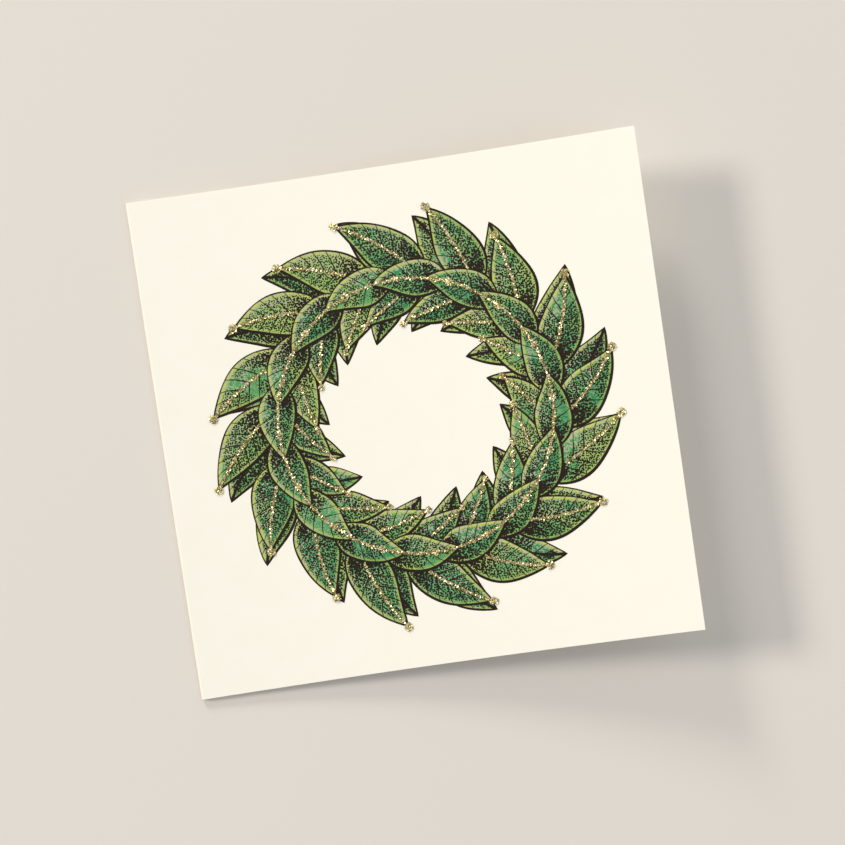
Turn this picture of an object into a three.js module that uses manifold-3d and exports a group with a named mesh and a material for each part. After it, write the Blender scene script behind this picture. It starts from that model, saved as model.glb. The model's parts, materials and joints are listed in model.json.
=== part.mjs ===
// A folded greeting card, nearly square, closed and lying on its back panel, with a wreath in gold glitter on its front.
// Millimetres. +X runs from the fold to the free edges, +Y up the front, +Z up from the table.
// The origin is on the table, under the middle of the card.
import * as THREE from 'three';
import { mergeVertices } from 'three/addons/utils/BufferGeometryUtils.js';
import Module from 'manifold-3d';

const degree = Math.PI / 180;

// The sheet: one piece of card stock, creased across its middle. The width runs from the fold to the free edges.
const cardWidth = 133;
const cardHeight = 131;
const stock = 0.4;
const creaseInside = 0.225;
const creaseOutside = creaseInside + stock;
const seam = 0.02;
const rootAngle = 1 * degree;
const curlRadius = 700;
const coverSteps = 28;
const creaseSteps = 14;

// The hinge line runs along Y through the middle of the crease's curl.
const hingeX = -cardWidth / 2 + creaseOutside;
const hingeZ = creaseOutside;
const panelLength = cardWidth / 2 - hingeX;

// The wreath: rows of leaves that all grow the same way round a ring.
const ringRadius = 36;
const stations = 16;
const ringSteps = 96;
const glitterHeight = 0.3;
const glitterLift = 0.05;
const ringWidth = 0.9;
const rows = [
  { side: 1, phase: 0.45, angle: 41, length: 26, bend: 26, tip: 1.15, swing: 3 },
  { side: -1, phase: 0.45, angle: 40, length: 20, bend: 14, tip: 0.85, swing: 4 },
];
const ribSteps = 5;
const ribWidthAtRing = 0.8;
const ribWidthAtTip = 0.5;
const ringDot = 1;
const dotSides = 10;
const angleSway = 4;
const lengthSway = 0.06;

const cardStock = { color: 0xfffaea, roughness: 0.85, metalness: 0 };
const goldGlitter = { color: 0xc9a64b, roughness: 0.35, metalness: 0.8 };

const wasm = await Module();
wasm.setup();

// The cover leaves the crease at its root angle and curls up evenly towards its free edge, as printed card does.
// Along is measured from the hinge line, and height from the hinge line square to the panel.
function coverPoint(along, height) {
  const slope = rootAngle + along / curlRadius;
  return [
    hingeX + curlRadius * (Math.sin(slope) - Math.sin(rootAngle)) - height * Math.sin(slope),
    hingeZ + curlRadius * (Math.cos(rootAngle) - Math.cos(slope)) + height * Math.cos(slope),
  ];
}

// A section drawn in X and Z, carried along the card's whole height in Y.
function alongFold(name, section, finish) {
  const shape = new THREE.Shape(section.map(([x, z]) => new THREE.Vector2(x, z)));
  const geometry = new THREE.ExtrudeGeometry(shape, { depth: cardHeight, bevelEnabled: false });
  const mesh = new THREE.Mesh(geometry, new THREE.MeshStandardMaterial(finish));
  mesh.name = name;
  mesh.rotation.x = Math.PI / 2;
  mesh.position.y = cardHeight / 2;
  return mesh;
}

function backPanel() {
  const left = hingeX + seam;
  const right = cardWidth / 2;
  const section = [[left, 0], [right, 0], [right, stock], [left, stock]];
  return alongFold('back_panel', section, cardStock);
}

// The crease curls from the back panel's edge, round the outside of the hinge line, to the cover's root.
function fold() {
  const gap = seam / (creaseInside + stock / 2);
  const start = 1.5 * Math.PI - gap;
  const end = Math.PI / 2 + rootAngle + gap;
  const arc = (radius) => Array.from({ length: creaseSteps + 1 }, (_, i) => {
    const a = start + (end - start) * i / creaseSteps;
    return [hingeX + radius * Math.cos(a), hingeZ + radius * Math.sin(a)];
  });
  return alongFold('fold', [...arc(creaseOutside), ...arc(creaseInside).reverse()], cardStock);
}

function frontPanel() {
  const face = (height) => Array.from({ length: coverSteps + 1 }, (_, i) => {
    return coverPoint(seam + (panelLength - seam) * i / coverSteps, height);
  });
  return alongFold('front_panel', [...face(creaseInside), ...face(creaseOutside).reverse()], cardStock);
}

// A closed three.js geometry as a solid that can be joined to others.
function solidOf(geometry) {
  geometry.deleteAttribute('normal');
  geometry.deleteAttribute('uv');
  const merged = mergeVertices(geometry);
  return new wasm.Manifold(new wasm.Mesh({
    numProp: 3,
    vertProperties: merged.attributes.position.array,
    triVerts: new Uint32Array(merged.index.array),
  }));
}

function raised(shape) {
  return solidOf(new THREE.ExtrudeGeometry(shape, { depth: glitterHeight, bevelEnabled: false }));
}

function circlePoints(radius, sides) {
  return Array.from({ length: sides }, (_, i) => {
    const a = 2 * Math.PI * i / sides;
    return new THREE.Vector2(radius * Math.cos(a), radius * Math.sin(a));
  });
}

function dot(centre, radius) {
  return raised(new THREE.Shape(circlePoints(radius, dotSides).map((p) => p.add(centre))));
}

function ring() {
  const shape = new THREE.Shape(circlePoints(ringRadius + ringWidth / 2, ringSteps));
  shape.holes.push(new THREE.Path(circlePoints(ringRadius - ringWidth / 2, ringSteps)));
  return raised(shape);
}

function ringPoint(station) {
  const a = 2 * Math.PI * station / stations;
  return new THREE.Vector2(ringRadius * Math.cos(a), ringRadius * Math.sin(a));
}

// A leaf's rib is an arc that leaves the ring at the row's angle to it. The sway keeps neighbours from being alike.
function ribCurve(row, index) {
  const station = index + row.phase;
  const angle = row.angle + angleSway * Math.sin(2.4 * index + row.swing);
  const length = row.length * (1 + lengthSway * Math.sin(1.7 * index + row.swing));
  const heading = 2 * Math.PI * station / stations + Math.PI / 2 - row.side * angle * degree;
  const radius = length / (row.bend * degree);
  const base = ringPoint(station);
  return (t) => {
    const turned = heading + row.bend * degree * t;
    return {
      point: new THREE.Vector2(
        base.x + radius * (Math.sin(turned) - Math.sin(heading)),
        base.y - radius * (Math.cos(turned) - Math.cos(heading)),
      ),
      across: new THREE.Vector2(-Math.sin(turned), Math.cos(turned)),
    };
  };
}

function rib(row, index) {
  const curve = ribCurve(row, index);
  const side = (sign) => Array.from({ length: ribSteps + 1 }, (_, i) => {
    const t = i / ribSteps;
    const { point, across } = curve(t);
    return point.addScaledVector(across, sign * THREE.MathUtils.lerp(ribWidthAtRing, ribWidthAtTip, t) / 2);
  });
  const strip = raised(new THREE.Shape([...side(-1), ...side(1).reverse()]));
  return strip.add(dot(curve(1).point, row.tip));
}

// The glitter is joined flat into one network, then laid over the cover's curve.
function goldGlitterWreath() {
  let network = ring();
  for (let index = 0; index < stations; index++) {
    network = network.add(dot(ringPoint(index), ringDot));
    for (const row of rows) network = network.add(rib(row, index));
  }
  const { vertProperties, triVerts, numProp } = network.getMesh();
  const positions = [];
  for (let i = 0; i < vertProperties.length; i += numProp) {
    const along = vertProperties[i] - hingeX;
    const [x, z] = coverPoint(along, creaseOutside + glitterLift + vertProperties[i + 2]);
    positions.push(x, vertProperties[i + 1], z);
  }
  const geometry = new THREE.BufferGeometry();
  geometry.setAttribute('position', new THREE.Float32BufferAttribute(positions, 3));
  geometry.setIndex(Array.from(triVerts));
  geometry.computeVertexNormals();
  const mesh = new THREE.Mesh(geometry, new THREE.MeshStandardMaterial(goldGlitter));
  mesh.name = 'gold_glitter';
  return mesh;
}

const card = new THREE.Group();
card.add(backPanel(), fold(), frontPanel(), goldGlitterWreath());

export default card;
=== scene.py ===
import json
import math
import random

import bpy
import numpy as np
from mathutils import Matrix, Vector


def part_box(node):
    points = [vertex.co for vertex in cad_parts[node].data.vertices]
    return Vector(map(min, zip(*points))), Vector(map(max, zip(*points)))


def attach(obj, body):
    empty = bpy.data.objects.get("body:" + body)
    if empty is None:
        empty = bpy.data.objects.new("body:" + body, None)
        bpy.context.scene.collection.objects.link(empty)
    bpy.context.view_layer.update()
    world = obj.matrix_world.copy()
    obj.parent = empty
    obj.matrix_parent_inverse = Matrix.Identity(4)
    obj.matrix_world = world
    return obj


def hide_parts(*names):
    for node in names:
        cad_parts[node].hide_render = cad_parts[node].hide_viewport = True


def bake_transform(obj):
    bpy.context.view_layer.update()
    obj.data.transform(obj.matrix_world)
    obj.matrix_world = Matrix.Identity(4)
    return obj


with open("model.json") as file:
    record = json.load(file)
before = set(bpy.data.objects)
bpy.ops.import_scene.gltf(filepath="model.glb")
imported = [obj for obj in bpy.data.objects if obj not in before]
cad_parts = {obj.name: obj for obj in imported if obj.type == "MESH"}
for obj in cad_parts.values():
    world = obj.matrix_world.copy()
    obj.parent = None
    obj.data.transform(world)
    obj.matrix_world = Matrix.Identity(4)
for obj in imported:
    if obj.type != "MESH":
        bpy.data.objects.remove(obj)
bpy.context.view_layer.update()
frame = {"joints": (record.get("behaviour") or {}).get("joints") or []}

mm = 0.001

# The closed card lies on z = 0 with its fold on the left. The hinge line runs along Y inside the fold.
hinge = frame["joints"][0]["pos_m"]
backLow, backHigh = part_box("back_panel")
card = {
    "hingeX": hinge[0],
    "hingeZ": hinge[2],
    "stock": backHigh.z - backLow.z,
    "panelLength": backHigh.x - hinge[0],
    "height": backHigh.y - backLow.y,
    "rootAngle": math.radians(1),
    "curlRadius": 700 * mm,  # the printed cover curls up evenly from the crease to its free edge
}
card["creaseInside"] = card["hingeZ"] - card["stock"]


def linear(hexColour):
    parts = [int(hexColour[i:i + 2], 16) / 255 for i in (1, 3, 5)]
    return [c / 12.92 if c <= 0.04045 else ((c + 0.055) / 1.055) ** 2.4 for c in parts] + [1]


def addNode(tree, kind, settings=None, links=None):
    node = tree.nodes.new(kind)
    for key, value in (settings or {}).items():
        if isinstance(key, str) and hasattr(node, key):
            setattr(node, key, value)
        else:
            node.inputs[key].default_value = value
    for key, source in (links or {}).items():
        tree.links.new(source, node.inputs[key])
    return node


def newMaterial(name):
    material = bpy.data.materials.new(name)
    material.use_nodes = True
    tree = material.node_tree
    tree.nodes.clear()
    shader = addNode(tree, "ShaderNodeBsdfPrincipled")
    addNode(tree, "ShaderNodeOutputMaterial", links={"Surface": shader.outputs["BSDF"]})
    return material, tree, shader


def deselectAll():
    if bpy.context.object and bpy.context.object.mode != "OBJECT":
        bpy.ops.object.mode_set(mode="OBJECT")
    bpy.ops.object.select_all(action="DESELECT")


def makeActive(piece):
    deselectAll()
    piece.select_set(True)
    bpy.context.view_layer.objects.active = piece


def finishPiece(piece, name, material):
    piece.name = name
    piece.data.name = name
    piece.data.materials.clear()
    piece.data.materials.append(material)


def joinPieces(pieces):
    deselectAll()
    for piece in pieces:
        piece.select_set(True)
    bpy.context.view_layer.objects.active = pieces[0]
    bpy.ops.object.join()
    return bpy.context.object


def setAttribute(piece, name, values):
    attribute = piece.data.attributes.new(name, "FLOAT", "POINT")
    attribute.data.foreach_set("value", values.astype(np.float32))


def coverPoint(along, height):
    # Along is measured from the hinge line, and height from the hinge line square to the cover
    root, radius = card["rootAngle"], card["curlRadius"]
    slope = root + along / radius
    x = card["hingeX"] + radius * (np.sin(slope) - math.sin(root)) - height * np.sin(slope)
    z = card["hingeZ"] + radius * (math.cos(root) - np.cos(slope)) + height * np.cos(slope)
    return x, z


def layOnCover(piece):
    # Flat artwork, with z as its height off the paper, takes the cover's curve
    count = len(piece.data.vertices)
    points = np.zeros(count * 3)
    piece.data.vertices.foreach_get("co", points)
    points = points.reshape(-1, 3)
    height = card["creaseInside"] + card["stock"] + points[:, 2]
    points[:, 0], points[:, 2] = coverPoint(points[:, 0] - card["hingeX"], height)
    piece.data.vertices.foreach_set("co", points.ravel())
    piece.data.update()


# Uncoated cream card stock, about 300 g/m2: matt, with a fine tooth and a faint cloudiness in its fibre.
sheet = {
    "cream": "#F1ECDD",
    "cloud": "#F0EBDB",
    "cutEdge": "#F4F0E3",
    "scoredAndShaded": "#DCD7C9",  # darker along the crease: partly fibre pressed down by scoring, partly painted shade that dims the fold's curl where it faces the lamps
    "cloudMm": 7,
    "cloudSpan": (0.35, 0.6),
    "toothMm": 0.22,
    "toothDepth": 0.1 * mm,
    "tooth": 0.05,
    "roughness": 0.85,
    "specular": 0.25,
    "creaseSteps": 24,
    "coverSteps": 56,
    "edgeBevel": 0.05 * mm,
    "bevelAbove": 50,
    "smoothBelow": 30,
}


def cardStockMaterial(name, baseHex, cloudHex):
    material, tree, shader = newMaterial(name)
    where = addNode(tree, "ShaderNodeTexCoord")
    cloud = addNode(
        tree, "ShaderNodeTexNoise",
        {"Scale": 1 / (sheet["cloudMm"] * mm), "Detail": 3.0, "Roughness": 0.6},
        {"Vector": where.outputs["Object"]},
    )
    colour = addNode(tree, "ShaderNodeValToRGB", links={"Fac": cloud.outputs["Fac"]})
    stops = colour.color_ramp.elements
    for stop, position, hexColour in zip(stops, sheet["cloudSpan"], (cloudHex, baseHex)):
        stop.position = position
        stop.color = linear(hexColour)
    tooth = addNode(
        tree, "ShaderNodeTexNoise",
        {"Scale": 1 / (sheet["toothMm"] * mm), "Detail": 4.0, "Roughness": 0.65},
        {"Vector": where.outputs["Object"]},
    )
    bump = addNode(
        tree, "ShaderNodeBump",
        {"Strength": sheet["tooth"], "Distance": sheet["toothDepth"]},
        {"Height": tooth.outputs["Fac"]},
    )
    # Painted shade along the crease, laid over the pressed fibre's own slightly darker tone
    pressedAndShaded = addNode(tree, "ShaderNodeAttribute", {"attribute_name": "creasePressedAndShaded"}).outputs["Fac"]
    toned = addNode(
        tree, "ShaderNodeMix", {"data_type": "RGBA", 7: linear(sheet["scoredAndShaded"])},
        {0: pressedAndShaded, 6: colour.outputs["Color"]},
    ).outputs[2]
    tree.links.new(toned, shader.inputs["Base Color"])
    tree.links.new(bump.outputs["Normal"], shader.inputs["Normal"])
    shader.inputs["Roughness"].default_value = sheet["roughness"]
    shader.inputs["Specular IOR Level"].default_value = sheet["specular"]
    return material


def buildCardSheet():
    # A flat back panel, whose edge is spun round the crease and then drawn out along the cover's curve
    near = 1e-6
    deselectAll()
    bpy.ops.mesh.primitive_plane_add(size=1)
    piece = bpy.context.object
    bpy.ops.object.mode_set(mode="EDIT")
    bpy.ops.transform.resize(value=(card["panelLength"], card["height"], 1))
    middle = card["hingeX"] + card["panelLength"] / 2
    bpy.ops.transform.translate(value=(middle, 0, card["stock"]))
    bpy.ops.mesh.select_all(action="DESELECT")
    bpy.ops.object.mode_set(mode="OBJECT")
    for edge in piece.data.edges:
        ends = [piece.data.vertices[i].co.x for i in edge.vertices]
        edge.select = max(ends) < card["hingeX"] + near
    for vertex in piece.data.vertices:
        vertex.select = vertex.co.x < card["hingeX"] + near
    bpy.ops.object.mode_set(mode="EDIT")
    bpy.ops.mesh.spin(
        steps=sheet["creaseSteps"],
        angle=math.pi - card["rootAngle"],
        center=(card["hingeX"], 0, card["hingeZ"]),
        axis=(0, -1, 0),
    )
    lastX, lastZ = coverPoint(0, card["creaseInside"])
    for i in range(1, sheet["coverSteps"] + 1):
        x, z = coverPoint(card["panelLength"] * i / sheet["coverSteps"], card["creaseInside"])
        bpy.ops.mesh.extrude_region_move(TRANSFORM_OT_translate={"value": (x - lastX, 0, z - lastZ)})
        lastX, lastZ = x, z
    bpy.ops.mesh.select_all(action="SELECT")
    bpy.ops.mesh.remove_doubles(threshold=near)
    bpy.ops.mesh.normals_make_consistent(inside=False)
    bpy.ops.object.mode_set(mode="OBJECT")
    low = min(piece.data.polygons, key=lambda face: face.center.z)
    if low.normal.z > 0:  # the sheet's outside looks down under the back panel
        piece.data.flip_normals()
    face = cardStockMaterial("creamCardStock", sheet["cream"], sheet["cloud"])
    finishPiece(piece, "cardSheet", face)
    piece.data.materials.append(cardStockMaterial("cutCardEdge", sheet["cutEdge"], sheet["cream"]))
    makeActive(piece)
    wall = piece.modifiers.new("stock", "SOLIDIFY")
    wall.thickness = card["stock"]
    wall.offset = 1
    wall.use_even_offset = True
    wall.material_offset_rim = 1
    bpy.ops.object.modifier_apply(modifier=wall.name)
    bevel = piece.modifiers.new("cut", "BEVEL")
    bevel.width = sheet["edgeBevel"]
    bevel.segments = 1
    bevel.angle_limit = math.radians(sheet["bevelAbove"])
    bpy.ops.object.modifier_apply(modifier=bevel.name)
    bpy.ops.object.shade_smooth_by_angle(angle=math.radians(sheet["smoothBelow"]))
    # The crease's darkening, part pressed fibre and part painted shade, grows from the hinge line round the
    # fold
    pastHinge = card["hingeX"] - np.array([vertex.co.x for vertex in piece.data.vertices])
    setAttribute(piece, "creasePressedAndShaded", np.clip(pastHinge / card["hingeZ"], 0, 1))
    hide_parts("back_panel", "fold", "front_panel")
    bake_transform(piece)
    print("card sheet:", len(piece.data.polygons), "faces")


buildCardSheet()

# The wreath's rows of leaves, which all grow the same way round one ring. Heights are off the paper.
wreath = {
    "ringRadius": 36 * mm,
    "stations": 16,
    "angleSway": 4,
    "angleBeat": 2.4,
    "lengthSway": 0.06,
    "lengthBeat": 1.7,
    "alongSteps": 26,
    "acrossSteps": 10,
    "inkFilm": 0.006 * mm,
    "light": (-0.6, 0.8),  # the drawing is shaded as if lit from the upper left
}
leafForm = {
    "breadth": 1.06,
    "lowPeak": 0.82,  # under 1, so the leaf is widest a little below its middle
    "roundness": 0.85,
    "slimming": 0.22,  # towards the point
    "waveSize": 0.035,
    "waves": 9,
    "endSlope": 0.55,  # the drawn rim closes round both ends at this slope
}
rows = {
    "rearOuterLeaves": {
        "side": 1, "phase": 0.9, "angle": 60, "length": 22.5, "bend": 34, "halfWidth": 5.6,
        "swing": 1, "lowMm": 0.008, "highMm": 0.016, "depth": 0.09,
    },
    "rearInnerLeaves": {
        "side": -1, "phase": 0.95, "angle": 58, "length": 17.5, "bend": 12, "halfWidth": 4.6,
        "swing": 2, "lowMm": 0.008, "highMm": 0.016, "depth": 0.09,
    },
    "outerLeaves": {
        "side": 1, "phase": 0.45, "angle": 41, "length": 26, "bend": 26, "halfWidth": 6.3,
        "swing": 3, "lowMm": 0.024, "highMm": 0.05, "depth": 0.02, "tip": 1.15,
    },
    "innerLeaves": {
        "side": -1, "phase": 0.45, "angle": 40, "length": 20, "bend": 14, "halfWidth": 5.0,
        "swing": 4, "lowMm": 0.024, "highMm": 0.05, "depth": 0.03, "tip": 0.85,
    },
    "ringLeaves": {
        "side": 0, "phase": 0, "angle": 0, "length": 21, "bend": 33.4, "halfWidth": 5.4,
        "swing": 0, "lowMm": 0.06, "highMm": 0.09, "depth": 0.0, "tip": 1.0,
    },
}


def leafLength(row, index):
    sway = wreath["lengthSway"] * math.sin(wreath["lengthBeat"] * index + row["swing"]) if row["side"] else 0
    return row["length"] * mm * (1 + sway)


def leafSpine(row, index):
    # The rib is an arc that leaves the ring at the row's angle to it
    turn = 2 * math.pi * (index + row["phase"]) / wreath["stations"]
    sway = wreath["angleSway"] * math.sin(wreath["angleBeat"] * index + row["swing"]) if row["side"] else 0
    heading = turn + math.pi / 2 - row["side"] * math.radians(row["angle"] + sway)
    bend = math.radians(row["bend"])
    radius = leafLength(row, index) / bend
    baseX = wreath["ringRadius"] * math.cos(turn)
    baseY = wreath["ringRadius"] * math.sin(turn)

    def at(t):
        turned = heading + bend * t
        x = baseX + radius * (np.sin(turned) - math.sin(heading))
        y = baseY - radius * (np.cos(turned) - math.cos(heading))
        return x, y, turned

    return at


def leafWidth(t):
    t = np.clip(t, 0, 1)
    swell = np.sin(math.pi * t**leafForm["lowPeak"]) ** leafForm["roundness"]
    return leafForm["breadth"] * swell * (1 - leafForm["slimming"] * t)


def shapeLeaf(piece, row, index, draw):
    count = len(piece.data.vertices)
    flat = np.zeros(count * 3)
    piece.data.vertices.foreach_get("co", flat)
    flat = flat.reshape(-1, 3)
    t = flat[:, 0] + 0.5
    across = flat[:, 1] * 2
    x, y, turned = leafSpine(row, index)(t)
    sideWave = 1 + leafForm["waveSize"] * np.sin(leafForm["waves"] * t + index) * np.sign(across)
    half = row["halfWidth"] * mm * leafWidth(t) * sideWave
    offset = across * half
    points = np.stack([
        x - offset * np.sin(turned),
        y + offset * np.cos(turned),
        (row["lowMm"] + (row["highMm"] - row["lowMm"]) * t) * mm,
    ], axis=1)
    piece.data.vertices.foreach_set("co", points.ravel())
    lightX, lightY = wreath["light"]
    facing = -np.sin(turned) * lightX + np.cos(turned) * lightY
    endGap = np.minimum(t, 1 - t) * leafLength(row, index) * leafForm["endSlope"]
    setAttribute(piece, "leafAlong", t)
    setAttribute(piece, "leafAcross", offset / mm)
    setAttribute(piece, "leafSide", across)
    setAttribute(piece, "leafRim", np.minimum((1 - np.abs(across)) * half, endGap) / mm)
    setAttribute(piece, "leafLit", across * facing)
    setAttribute(piece, "leafTone", np.full(count, draw.random()))


def buildLeafRow(name, row, material, draw):
    deselectAll()
    bpy.ops.mesh.primitive_grid_add(
        x_subdivisions=wreath["alongSteps"], y_subdivisions=wreath["acrossSteps"], size=1,
    )
    template = bpy.context.object
    leaves = []
    for index in range(wreath["stations"]):
        leaf = bpy.data.objects.new(f"{name}{index}", template.data.copy())
        bpy.context.scene.collection.objects.link(leaf)
        shapeLeaf(leaf, row, index, draw)
        leaves.append(leaf)
    bpy.data.objects.remove(template)
    piece = joinPieces(leaves)
    bpy.ops.object.mode_set(mode="EDIT")
    bpy.ops.mesh.select_all(action="SELECT")
    bpy.ops.mesh.remove_doubles(threshold=1e-7)
    bpy.ops.object.mode_set(mode="OBJECT")
    film = piece.modifiers.new("inkFilm", "SOLIDIFY")
    film.thickness = wreath["inkFilm"]
    film.offset = -1
    bpy.ops.object.modifier_apply(modifier=film.name)
    layOnCover(piece)
    finishPiece(piece, name, material)
    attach(piece, "front")
    print(name + ":", len(piece.data.polygons), "faces")


# Offset litho ink in a stippled engraving style: flat colours that run into each other under black-brown dots
# and lines. Uncoated stock drinks it in, so it dries nearly matt.
ink = {
    "seed": 11,
    "blackBrown": "#23160F",
    "blueGreen": "#2C8A51",
    "midGreen": "#549C56",
    "yellowGreen": "#97B55E",
    "rimYellow": "#BFC75A",
    "beige": "#ACAC90",
    "greenStops": (0.5, 0.75, 1.0),
    "toneShare": 0.45,
    "patchMm": 7,
    "fleckMm": 0.6,
    "rimGlowMm": (1.9, 0.5),
    "rimLight": (-0.4, 0.6, 0.5),  # the shaded side, the lit side, and what is left of the rim in the shade
    "fleckSpan": (0.47, 0.56),
    "fleckLight": (-0.5, 0.6, 0.25),
    "dotSpacingMm": 0.54,  # drawn dots stand about half a millimetre apart
    "dotUnevenness": 0.8,
    "dotRadius": 0.4,  # as a share of their spacing, where nothing is shaded
    "dotEdge": 0.05,
    "shading": {  # each adds its last value to the radius as its measure goes from the first to the second
        "along": (0.5, 0.08, 0.32),
        "lit": (0.2, -1.0, 0.1),
        "ribGap": (1.0, 0.1, 0.1),
        "rim": (1.7, 0.6, -0.4),
        "tone": (0.55, 1.0, -0.06),
        "patch": (0.42, 0.34, -0.3),
    },
    # Reach and edge are in mm for the contour and the rib, and shares of their spacing for the veins
    "contour": {"reach": 0.4, "edge": 0.08, "patch": -0.4, "lit": 0.25},
    "rib": {"reach": 0.18, "edge": 0.08, "taper": -0.22},
    "veins": {"reach": 0.08, "edge": 0.02, "count": 8.0, "sweep": -1.3, "fade": 0.05},
    "roughness": 0.7,
    "specular": 0.18,
}


def lithoInkMaterial(name, depth):
    material, tree, shader = newMaterial(name)
    where = addNode(tree, "ShaderNodeTexCoord").outputs["Object"]
    along, across, side, rim, lit, tone = (
        addNode(tree, "ShaderNodeAttribute", {"attribute_name": attribute}).outputs["Fac"]
        for attribute in ("leafAlong", "leafAcross", "leafSide", "leafRim", "leafLit", "leafTone")
    )
    ribGap, sideGap = (
        addNode(tree, "ShaderNodeMath", {"operation": "ABSOLUTE"}, {0: measure}).outputs[0]
        for measure in (across, side)
    )
    patch, fleck = (
        addNode(
            tree, "ShaderNodeTexNoise", {"Scale": 1 / (ink[size] * mm), "Detail": 1.0}, {"Vector": where},
        ).outputs["Fac"]
        for size in ("patchMm", "fleckMm")
    )

    # Ground: each leaf runs from blue-green to mid green in patches, and some leaves are yellower than others
    greens = addNode(
        tree, "ShaderNodeMath", {"operation": "MULTIPLY_ADD", 1: ink["toneShare"]}, {0: tone, 2: patch},
    ).outputs[0]
    ground = addNode(tree, "ShaderNodeValToRGB", links={"Fac": greens})
    ramp = ground.color_ramp
    low, middle, high = ink["greenStops"]
    ramp.elements[0].position, ramp.elements[1].position = low, high
    ramp.elements[0].color, ramp.elements[1].color = linear(ink["blueGreen"]), linear(ink["yellowGreen"])
    ramp.elements.new(middle).color = linear(ink["midGreen"])
    colour = ground.outputs["Color"]

    # A yellow-green rim, broadest on the lit side, and beige flecks over the lit half
    overprints = (
        ("rimYellow", rim, ink["rimGlowMm"], "SMOOTHSTEP", ink["rimLight"]),
        ("beige", fleck, ink["fleckSpan"], "LINEAR", ink["fleckLight"]),
    )
    for hexColour, source, (start, end), easing, (shaded, sunlit, leftOver) in overprints:
        mask = addNode(
            tree, "ShaderNodeMapRange", {"From Min": start, "From Max": end, "interpolation_type": easing},
            {"Value": source},
        ).outputs["Result"]
        litShare = addNode(
            tree, "ShaderNodeMapRange",
            {"From Min": shaded, "From Max": sunlit, "To Min": leftOver, "interpolation_type": "SMOOTHSTEP"},
            {"Value": lit},
        ).outputs["Result"]
        share = addNode(tree, "ShaderNodeMath", {"operation": "MULTIPLY"}, {0: mask, 1: litShare}).outputs[0]
        colour = addNode(
            tree, "ShaderNodeMix", {"data_type": "RGBA", 7: linear(ink[hexColour])}, {0: share, 6: colour},
        ).outputs[2]

    # Black dots, one to each cell, that swell towards the root, the shaded side and the rib until they run
    # together, and shrink along the rim and in patches
    perMetre = 1 / (ink["dotSpacingMm"] * mm)
    spread = addNode(
        tree, "ShaderNodeTexVoronoi",
        {"voronoi_dimensions": "2D", "Scale": perMetre, "Randomness": ink["dotUnevenness"]},
        {"Vector": where},
    ).outputs["Distance"]
    inside = addNode(
        tree, "ShaderNodeMath", {"operation": "SUBTRACT", 0: ink["dotRadius"] + depth}, {1: spread},
    ).outputs[0]
    measures = {"along": along, "lit": lit, "ribGap": ribGap, "rim": rim, "tone": tone, "patch": patch}
    for measure, (start, end, most) in ink["shading"].items():
        part = addNode(
            tree, "ShaderNodeMapRange",
            {"From Min": start, "From Max": end, "To Max": most, "interpolation_type": "SMOOTHSTEP"},
            {"Value": measures[measure]},
        ).outputs["Result"]
        inside = addNode(tree, "ShaderNodeMath", {"operation": "ADD"}, {0: inside, 1: part}).outputs[0]
    black = addNode(
        tree, "ShaderNodeMapRange",
        {"From Min": -ink["dotEdge"], "From Max": ink["dotEdge"]}, {"Value": inside},
    ).outputs["Result"]

    # Drawn lines: a contour that swells on the shaded side, a tapering rib, and side veins that fade outwards
    contour, rib, veins = ink["contour"], ink["rib"], ink["veins"]
    veinTurn = addNode(
        tree, "ShaderNodeMath", {"operation": "MULTIPLY", 1: veins["count"]}, {0: along},
    ).outputs[0]
    gaps = {"contour": rim, "rib": ribGap, "veins": veinTurn}
    bends = (
        ("contour", contour["patch"], patch),
        ("contour", contour["lit"], lit),
        ("rib", rib["taper"], along),
        ("veins", veins["sweep"], sideGap),
    )
    for line, factor, measure in bends:
        gaps[line] = addNode(
            tree, "ShaderNodeMath", {"operation": "MULTIPLY_ADD", 1: factor}, {0: measure, 2: gaps[line]},
        ).outputs[0]
    veinGap = addNode(
        tree, "ShaderNodeMath", {"operation": "PINGPONG", 1: 0.5}, {0: gaps["veins"]},
    ).outputs[0]
    gaps["veins"] = addNode(
        tree, "ShaderNodeMath", {"operation": "MULTIPLY_ADD", 1: veins["fade"]}, {0: sideGap, 2: veinGap},
    ).outputs[0]
    for line, gap in gaps.items():
        reach, edge = ink[line]["reach"], ink[line]["edge"]
        drawn = addNode(
            tree, "ShaderNodeMapRange", {"From Min": reach + edge, "From Max": reach - edge}, {"Value": gap},
        ).outputs["Result"]
        black = addNode(tree, "ShaderNodeMath", {"operation": "MAXIMUM"}, {0: black, 1: drawn}).outputs[0]
    colour = addNode(
        tree, "ShaderNodeMix", {"data_type": "RGBA", 7: linear(ink["blackBrown"])}, {0: black, 6: colour},
    ).outputs[2]
    tree.links.new(colour, shader.inputs["Base Color"])
    shader.inputs["Roughness"].default_value = ink["roughness"]
    shader.inputs["Specular IOR Level"].default_value = ink["specular"]
    return material


toneDraw = random.Random(ink["seed"])
for rowName, rowSettings in rows.items():
    rowInk = lithoInkMaterial(rowName + "LithoInk", rowSettings["depth"])
    buildLeafRow(rowName, rowSettings, rowInk, toneDraw)

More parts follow.
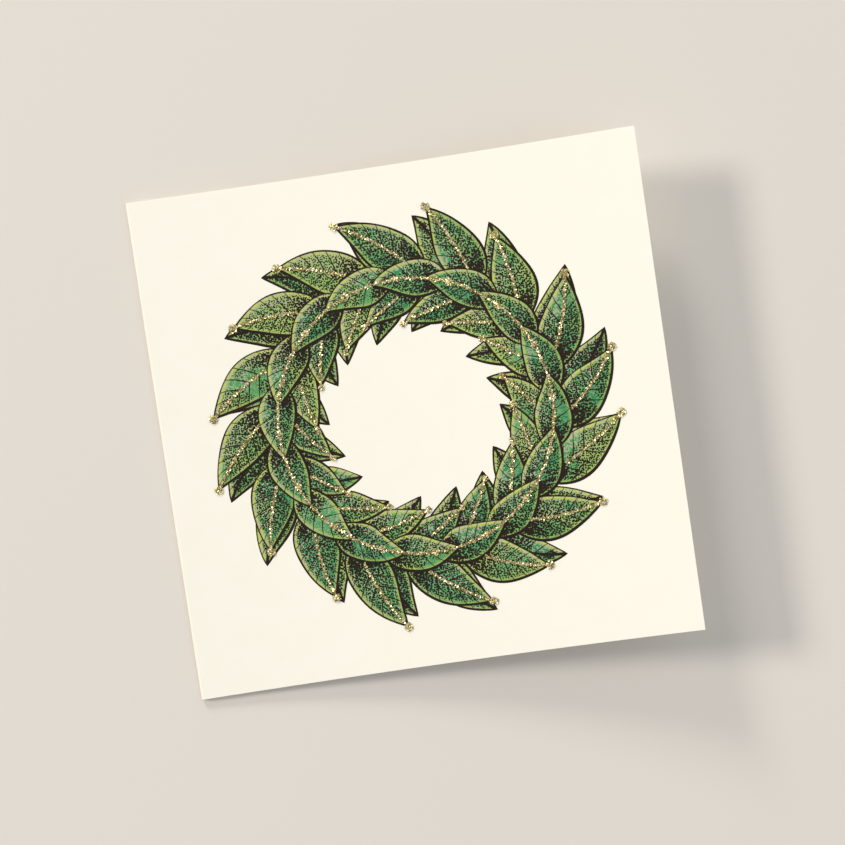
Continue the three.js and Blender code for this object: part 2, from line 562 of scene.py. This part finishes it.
# Craft glitter: hexagonal polyester flakes metallised pale gold, thrown over beads of amber craft glue.
glitter = {
    "seed": 5,
    "flakeRadius": 0.2 * mm,
    "flakeThickness": 0.02 * mm,
    "flakeSizes": (0.7, 1.1),  # shares of the radius
    "tilt": 38,
    "tiltFalloff": 0.8,
    "tiltRise": 0.6,  # a tipped flake stands on its edge, sunk a little in the glue
    "flakesPerMm": 9.9,
    "flakesPerDotMm2": 16,
    "lineWidth": 1.1 * mm,
    "lineHeight": 0.1 * mm,
    "dotHeight": 0.3 * mm,
    "dotSpread": 0.98,
    "domeLow": 0.4,
    "lift": 0.11 * mm,
    "ribClear": 4.3 * mm,  # where a rib comes out from under the ring's own leaves
    "ringSteps": 180,
    "ribSteps": 24,
    "darkGold": "#5E4C26",
    "gold": "#DFCB82",
    "paleGold": "#FFF8D2",
    "goldStop": 0.45,
    "metallic": 0.9,  # the polyester's clear coat takes off some of the metal
    "roughness": 0.38,
}


def goldFlakeMaterial():
    material, tree, shader = newMaterial("goldPolyesterGlitter")
    tone = addNode(tree, "ShaderNodeAttribute", {"attribute_name": "flakeTone"}).outputs["Fac"]
    colour = addNode(tree, "ShaderNodeValToRGB", links={"Fac": tone})
    colour.color_ramp.elements[0].color = linear(glitter["darkGold"])
    colour.color_ramp.elements[1].color = linear(glitter["paleGold"])
    colour.color_ramp.elements.new(glitter["goldStop"]).color = linear(glitter["gold"])
    tree.links.new(colour.outputs["Color"], shader.inputs["Base Color"])
    shader.inputs["Metallic"].default_value = glitter["metallic"]
    shader.inputs["Roughness"].default_value = glitter["roughness"]
    return material


def glitterLines():
    # The ring, and each rib from where it comes out from under the ring's leaves
    ring = []
    for i in range(glitter["ringSteps"] + 1):
        turn = 2 * math.pi * i / glitter["ringSteps"]
        ring.append((wreath["ringRadius"] * math.cos(turn), wreath["ringRadius"] * math.sin(turn)))
    lines = [ring]
    for row in rows.values():
        if "tip" not in row or row["side"] == 0:
            continue
        for index in range(wreath["stations"]):
            spine = leafSpine(row, index)
            points = [spine(i / glitter["ribSteps"])[:2] for i in range(glitter["ribSteps"] + 1)]
            lines.append([
                point for point in points
                if abs(math.hypot(*point) - wreath["ringRadius"]) > glitter["ribClear"]
            ])
    return lines


def glitterDots():
    # One at each leaf's tip, and at the root of each of the ring's own leaves
    dots = []
    for row in rows.values():
        if "tip" not in row:
            continue
        for index in range(wreath["stations"]):
            x, y, turned = leafSpine(row, index)(0.0 if row["side"] == 0 else 1.0)
            dots.append((x, y, row["tip"] * mm))
    return dots


def flakePlaces(draw):
    # Each place is x, y and the height off the paper
    places = []
    for line in glitterLines():
        for (ax, ay), (bx, by) in zip(line, line[1:]):
            length = math.hypot(bx - ax, by - ay)
            for _ in range(int(length / mm * glitter["flakesPerMm"] + draw.random())):
                t = draw.random()
                aside = (draw.random() + draw.random() - 1) * glitter["lineWidth"] / 2
                places.append((
                    ax + (bx - ax) * t - (by - ay) / length * aside,
                    ay + (by - ay) * t + (bx - ax) / length * aside,
                    glitter["lineHeight"] * draw.random(),
                ))
    for x, y, radius in glitterDots():
        for _ in range(int(math.pi * (radius / mm) ** 2 * glitter["flakesPerDotMm2"])):
            away = radius * glitter["dotSpread"] * math.sqrt(draw.random())
            turn = draw.random() * 2 * math.pi
            dome = glitter["dotHeight"] * (1 - (away / radius) ** 2)
            places.append((
                x + away * math.cos(turn),
                y + away * math.sin(turn),
                dome * draw.uniform(glitter["domeLow"], 1),
            ))
    return np.array(places)


def buildGlitter():
    draw = np.random.default_rng(glitter["seed"])
    places = flakePlaces(draw)
    count = len(places)
    deselectAll()
    bpy.ops.mesh.primitive_cylinder_add(
        vertices=6, radius=glitter["flakeRadius"], depth=glitter["flakeThickness"],
    )
    piece = bpy.context.object
    perFlake = len(piece.data.vertices)
    repeat = piece.modifiers.new("flakes", "ARRAY")
    repeat.count = count
    repeat.use_relative_offset = False
    bpy.ops.object.modifier_apply(modifier=repeat.name)

    # Each copy is sized, spun in its own plane, tipped over and set in its place
    points = np.zeros(count * perFlake * 3)
    piece.data.vertices.foreach_get("co", points)
    points = points.reshape(count, perFlake, 3) * draw.uniform(*glitter["flakeSizes"], (count, 1, 1))
    spun, tippedTo = draw.uniform(0, 2 * math.pi, (2, count, 1))
    tipped = math.radians(glitter["tilt"]) * draw.random((count, 1)) ** glitter["tiltFalloff"]
    x, y, z = np.moveaxis(points, -1, 0)
    x, y = x * np.cos(spun) - y * np.sin(spun), x * np.sin(spun) + y * np.cos(spun)
    x, z = x * np.cos(tipped) + z * np.sin(tipped), z * np.cos(tipped) - x * np.sin(tipped)
    x, y = x * np.cos(tippedTo) - y * np.sin(tippedTo), x * np.sin(tippedTo) + y * np.cos(tippedTo)
    rest = glitter["lift"] + glitter["flakeRadius"] * np.sin(tipped) * glitter["tiltRise"]
    points = np.stack([x + places[:, :1], y + places[:, 1:2], z + places[:, 2:] + rest], axis=-1)
    piece.data.vertices.foreach_set("co", points.ravel())
    setAttribute(piece, "flakeTone", np.repeat(draw.random(count), perFlake))
    layOnCover(piece)
    finishPiece(piece, "goldGlitter", goldFlakeMaterial())
    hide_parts("gold_glitter")
    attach(piece, "front")
    print("glitter flakes:", count)


buildGlitter()

# Amber craft glue, laid as beads at the dots and as low lines under the ring and the ribs, and dried glossy.
glue = {
    "amber": "#7D7340",
    "shade": "#464020",
    "grainMm": 0.3,
    "grainSpan": (0.35, 0.65),
    "roughness": 0.42,
    "beadShare": 0.7,  # of the dot's radius
    "beadHeight": 0.85,  # of the dot's height
    "beadBottom": 0.02 * mm,
    "beadSegments": 14,
    "beadRings": 8,
    "lineWidth": 0.7 * mm,
    "lineMiddle": 0.075 * mm,
    "lineHeight": 0.09 * mm,
    "tubeSides": 4,
    "smoothBelow": 50,
}


def amberGlueMaterial():
    material, tree, shader = newMaterial("amberCraftGlue")
    where = addNode(tree, "ShaderNodeTexCoord")
    speck = addNode(
        tree, "ShaderNodeTexNoise",
        {"Scale": 1 / (glue["grainMm"] * mm), "Detail": 2.0}, {"Vector": where.outputs["Object"]},
    )
    colour = addNode(tree, "ShaderNodeValToRGB", links={"Fac": speck.outputs["Fac"]})
    stops = colour.color_ramp.elements
    for stop, position, hexColour in zip(stops, glue["grainSpan"], (glue["shade"], glue["amber"])):
        stop.position = position
        stop.color = linear(hexColour)
    tree.links.new(colour.outputs["Color"], shader.inputs["Base Color"])
    shader.inputs["Roughness"].default_value = glue["roughness"]
    return material


def buildGlueDots(material):
    # Half a ball, set flat at each dot and pressed low
    deselectAll()
    bpy.ops.mesh.primitive_uv_sphere_add(
        segments=glue["beadSegments"], ring_count=glue["beadRings"], radius=1,
    )
    template = bpy.context.object
    bpy.ops.object.mode_set(mode="EDIT")
    bpy.ops.mesh.select_all(action="SELECT")
    justOverMiddle = 0.001  # so the cut misses the ball's middle ring
    bpy.ops.mesh.bisect(
        plane_co=(0, 0, justOverMiddle), plane_no=(0, 0, 1), clear_inner=True, use_fill=True,
    )
    bpy.ops.object.mode_set(mode="OBJECT")
    height = glitter["dotHeight"] * glue["beadHeight"]
    beads = []
    for index, (x, y, radius) in enumerate(glitterDots()):
        bead = bpy.data.objects.new(f"glueDot{index}", template.data.copy())
        bpy.context.scene.collection.objects.link(bead)
        for vertex in bead.data.vertices:
            dx, dy, dz = vertex.co
            vertex.co = (
                x + dx * radius * glue["beadShare"],
                y + dy * radius * glue["beadShare"],
                glue["beadBottom"] + dz * height,
            )
        beads.append(bead)
    bpy.data.objects.remove(template)
    piece = joinPieces(beads)
    layOnCover(piece)
    bpy.ops.object.shade_smooth_by_angle(angle=math.radians(glue["smoothBelow"]))
    finishPiece(piece, "glueDots", material)
    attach(piece, "front")
    print("glue dots:", len(beads))


def buildGlueLines(material):
    # Drawn as round tubes, then pressed flat on the paper
    near = 1e-6
    deselectAll()
    bpy.ops.curve.primitive_nurbs_path_add()
    piece = bpy.context.object
    piece.data.splines.clear()
    piece.data.bevel_depth = glue["lineWidth"] / 2
    piece.data.bevel_resolution = glue["tubeSides"]
    piece.data.use_fill_caps = True
    for line in glitterLines():
        closed = math.dist(line[0], line[-1]) < near
        points = line[:-1] if closed else line
        spline = piece.data.splines.new("POLY")
        spline.points.add(len(points) - 1)
        for point, (x, y) in zip(spline.points, points):
            point.co = (x, y, 0, 1)
        spline.use_cyclic_u = closed
    bpy.ops.object.convert(target="MESH")
    piece = bpy.context.object
    bpy.ops.object.mode_set(mode="EDIT")
    bpy.ops.mesh.select_all(action="SELECT")
    bpy.ops.mesh.remove_doubles(threshold=near)
    bpy.ops.mesh.normals_make_consistent(inside=False)
    bpy.ops.transform.resize(value=(1, 1, glue["lineHeight"] / glue["lineWidth"]), center_override=(0, 0, 0))
    bpy.ops.transform.translate(value=(0, 0, glue["lineMiddle"]))
    bpy.ops.object.mode_set(mode="OBJECT")
    layOnCover(piece)
    bpy.ops.object.shade_smooth_by_angle(angle=math.radians(glue["smoothBelow"]))
    finishPiece(piece, "glueLines", material)
    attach(piece, "front")
    print("glue lines:", len(piece.data.polygons), "faces")


driedGlue = amberGlueMaterial()
buildGlueDots(driedGlue)
buildGlueLines(driedGlue)

# The stage: a pale matt table, soft daylight from the left, and a camera nearly straight above.
stage = {
    "tableHex": "#DAD3C9",
    "tableRadius": 2.2,
    "tableSides": 128,
    "tableGap": 0.02 * mm,
    "tableRoughness": 0.9,
    "tableSpecular": 0.2,
    "horizon": 0.37,
    "zenith": 0.725,
    "lean": 1.1,  # the tent is brighter on the side away from the lamps, so the curled cover is lit evenly
    "skyHex": "#F6FAFF",  # the room's fill is a little cooler than the lamps, and so are the shadows
    "lampHex": "#FFFBF6",
    "lamps": {
        "key": {
            "watts": 186, "width": 1.57, "height": 0.71, "distance": 5, "azimuth": 156, "elevation": 25.5,
        },
        "second": {
            "watts": 139, "width": 1.14, "height": 1.14, "distance": 5, "azimuth": 109, "elevation": 20,
        },
    },
    "cameraAt": (-25.8 * mm, 11.3 * mm, 385.3 * mm),
    "cameraTurn": (-1.37, -4.33, -8.42),
    "lens": 62.14,
    "clipStart": 0.01,
}


def buildStage():
    deselectAll()
    bpy.ops.mesh.primitive_circle_add(
        vertices=stage["tableSides"], radius=stage["tableRadius"], fill_type="NGON",
        location=(0, 0, -stage["tableGap"]),
    )
    table = bpy.context.object
    table.name = "table"
    material, tree, shader = newMaterial("paleMattTable")
    shader.inputs["Base Color"].default_value = linear(stage["tableHex"])
    shader.inputs["Roughness"].default_value = stage["tableRoughness"]
    shader.inputs["Specular IOR Level"].default_value = stage["tableSpecular"]
    table.data.materials.append(material)

    world = bpy.data.worlds.new("softRoom")  # a white tent, brightest overhead
    world.use_nodes = True
    sky = world.node_tree
    background = sky.nodes["Background"]
    background.inputs["Color"].default_value = linear(stage["skyHex"])
    direction = addNode(sky, "ShaderNodeTexCoord").outputs["Generated"]
    parts = addNode(sky, "ShaderNodeSeparateXYZ", links={"Vector": direction}).outputs
    glow = addNode(
        sky, "ShaderNodeMapRange", {"To Min": stage["horizon"], "To Max": stage["zenith"]},
        {"Value": parts["Z"]},
    ).outputs["Result"]
    sideways = addNode(
        sky, "ShaderNodeMath", {"operation": "MULTIPLY"}, {0: parts["X"], 1: parts["Z"]},
    ).outputs[0]
    strength = addNode(
        sky, "ShaderNodeMath", {"operation": "MULTIPLY_ADD", 1: stage["lean"]}, {0: sideways, 2: glow},
    ).outputs[0]
    sky.links.new(strength, background.inputs["Strength"])
    bpy.context.scene.world = world

    for name, lamp in stage["lamps"].items():
        turn, rise = math.radians(lamp["azimuth"]), math.radians(lamp["elevation"])
        away = lamp["distance"]
        bpy.ops.object.light_add(
            type="AREA",
            location=(
                away * math.cos(turn) * math.cos(rise),
                away * math.sin(turn) * math.cos(rise),
                away * math.sin(rise),
            ),
            rotation=(0, math.pi / 2 - rise, turn),
        )
        light = bpy.context.object
        light.name = name
        light.data.shape = "ELLIPSE"
        light.data.size, light.data.size_y = lamp["height"], lamp["width"]  # a lamp's own X points down
        light.data.energy = lamp["watts"]
        light.data.color = linear(stage["lampHex"])[:3]

    bpy.ops.object.camera_add(
        location=stage["cameraAt"], rotation=[math.radians(a) for a in stage["cameraTurn"]],
    )
    camera = bpy.context.object
    camera.data.lens = stage["lens"]
    camera.data.clip_start = stage["clipStart"]
    bpy.context.scene.camera = camera
    bpy.context.scene.view_settings.view_transform = "Standard"
    print("stage set")


buildStage()
